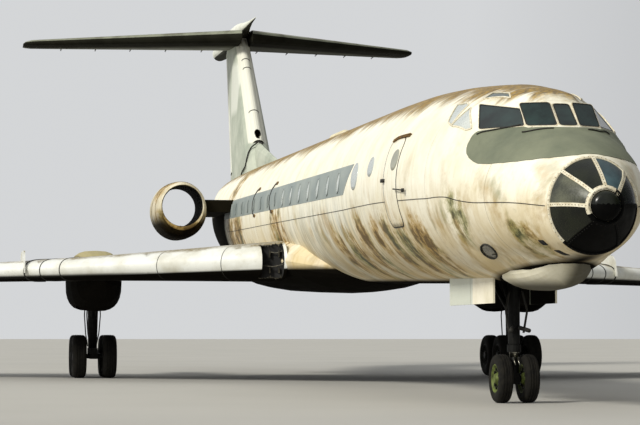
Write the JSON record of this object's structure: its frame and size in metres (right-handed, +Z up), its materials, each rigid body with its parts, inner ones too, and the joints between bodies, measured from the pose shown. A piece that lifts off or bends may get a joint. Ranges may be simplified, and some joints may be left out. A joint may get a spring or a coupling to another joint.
{
  "type": "narrow body airliner",
  "caption": "Disused T-tail airliner with a glazed nose, chin radome, swept wings and wheeled gear in wing pods, its engines missing, standing on its wheels.",
  "frame": {"origin": "bottom centre of the bounding box, on the ground under the wheels", "axes": "+Z up, nose toward -Y, starboard side toward -X, port side toward +X"},
  "size_m": [29, 37.1674, 9.6683],
  "materials": {
    "cream_paint": "weathered gloss paint",
    "grey_paint": "weathered matt paint",
    "radome_paint": "weathered paint on glass fibre",
    "black_paint": "satin",
    "dark_glazing": "glossy",
    "gear_steel": "weathered paint",
    "tyre_rubber": "matt"
  },
  "bodies": {
    "airframe": {"fuselage": "cream_paint", "belly_fairing": "grey_paint", "nose_glazing": "dark_glazing", "nose_hub": "black_paint", "chin_radome": "radome_paint", "roof_aerial_fairing": "grey_paint", "fin": "cream_paint", "bullet_fairing": "grey_paint", "nose_leg": "gear_steel", "cockpit_glazing": "dark_glazing", "nose_frame": "cream_paint", "service_door_starboard": "cream_paint", "entry_door_port": "cream_paint", "wing_starboard": "cream_paint", "gear_pod_starboard": "cream_paint", "intake_ring_starboard": "grey_paint", "pylon_starboard": "cream_paint", "tailplane_starboard": "cream_paint", "main_leg_starboard": "gear_steel", "bogie_beam_starboard": "gear_steel", "nose_gear_doors_starboard": "cream_paint", "wing_port": "cream_paint", "gear_pod_port": "cream_paint", "intake_ring_port": "grey_paint", "pylon_port": "cream_paint", "tailplane_port": "cream_paint", "main_leg_port": "gear_steel", "bogie_beam_port": "gear_steel", "nose_gear_doors_port": "cream_paint"},
    "nose_steering": {"nose_steering_fork": "gear_steel"},
    "nose_wheels": {"nose_wheels": "tyre_rubber"},
    "main_front_starboard": {"main_wheels_front_starboard": "tyre_rubber"},
    "main_rear_starboard": {"main_wheels_rear_starboard": "tyre_rubber"},
    "aileron_starboard": {"aileron_starboard": "cream_paint"},
    "flap_inner_starboard": {"flap_inner_starboard": "cream_paint"},
    "flap_outer_starboard": {"flap_outer_starboard": "cream_paint"},
    "elevator_starboard": {"elevator_starboard": "cream_paint"},
    "main_front_port": {"main_wheels_front_port": "tyre_rubber"},
    "main_rear_port": {"main_wheels_rear_port": "tyre_rubber"},
    "aileron_port": {"aileron_port": "cream_paint"},
    "flap_inner_port": {"flap_inner_port": "cream_paint"},
    "flap_outer_port": {"flap_outer_port": "cream_paint"},
    "elevator_port": {"elevator_port": "cream_paint"},
    "rudder": {"rudder": "cream_paint"}
  },
  "joints": [
    {"name": "aileron_starboard_hinge", "type": "hinge", "parent": "airframe", "child": "aileron_starboard", "pos_m": [-10.05, 5.09969, 2.20227], "axis": [-0.8783, 0.4776, -0.0239], "range_deg": [-20, 20]},
    {"name": "flap_inner_starboard_hinge", "type": "hinge", "parent": "airframe", "child": "flap_inner_starboard", "pos_m": [-2.26, 1.25705, 2.42417], "axis": [-0.9337, 0.3567, -0.0293], "range_deg": [0, 38]},
    {"name": "flap_outer_starboard_hinge", "type": "hinge", "parent": "airframe", "child": "flap_outer_starboard", "pos_m": [-6, 2.8004, 2.30974], "axis": [-0.8759, 0.4819, -0.0236], "range_deg": [0, 38]},
    {"name": "elevator_starboard_hinge", "type": "hinge", "parent": "airframe", "child": "elevator_starboard", "pos_m": [-0.57, 14.51203, 9.15895], "axis": [-0.8134, 0.5784, 0.0616], "range_deg": [-28, 16]},
    {"name": "aileron_port_hinge", "type": "hinge", "parent": "airframe", "child": "aileron_port", "pos_m": [13.9, 7.19319, 2.09769], "axis": [-0.8783, -0.4776, 0.0239], "range_deg": [-20, 20]},
    {"name": "flap_inner_port_hinge", "type": "hinge", "parent": "airframe", "child": "flap_inner_port", "pos_m": [3.9, 1.88359, 2.37267], "axis": [-0.9337, -0.3567, 0.0293], "range_deg": [0, 38]},
    {"name": "flap_outer_port_hinge", "type": "hinge", "parent": "airframe", "child": "flap_outer_port", "pos_m": [9.48, 4.7148, 2.21579], "axis": [-0.8759, -0.4819, 0.0236], "range_deg": [0, 38]},
    {"name": "elevator_port_hinge", "type": "hinge", "parent": "airframe", "child": "elevator_port", "pos_m": [5.42, 17.96103, 9.52625], "axis": [-0.8134, -0.5784, -0.0616], "range_deg": [-28, 16]},
    {"name": "rudder_hinge", "type": "hinge", "parent": "airframe", "child": "rudder", "pos_m": [0, 13.27999, 5.45145], "axis": [0, 0.4542, 0.8909], "range_deg": [-25, 25]},
    {"name": "nose_steering", "type": "hinge", "parent": "airframe", "child": "nose_steering", "pos_m": [0, -14.5461, 0.7], "axis": [0, 0, 1], "range_deg": [-35, 35]},
    {"name": "nose_wheels_roll", "type": "hinge", "parent": "nose_steering", "child": "nose_wheels", "pos_m": [0, -14.5461, 0.33], "axis": [1, 0, 0], "continuous": true},
    {"name": "main_front_starboard_roll", "type": "hinge", "parent": "airframe", "child": "main_front_starboard", "pos_m": [-4.7, 1.7879, 0.462], "axis": [1, 0, 0], "continuous": true},
    {"name": "main_rear_starboard_roll", "type": "hinge", "parent": "airframe", "child": "main_rear_starboard", "pos_m": [-4.7, 2.8679, 0.462], "axis": [1, 0, 0], "continuous": true},
    {"name": "main_front_port_roll", "type": "hinge", "parent": "airframe", "child": "main_front_port", "pos_m": [4.7, 1.7879, 0.462], "axis": [1, 0, 0], "continuous": true},
    {"name": "main_rear_port_roll", "type": "hinge", "parent": "airframe", "child": "main_rear_port", "pos_m": [4.7, 2.8679, 0.462], "axis": [1, 0, 0], "continuous": true}
  ]
}
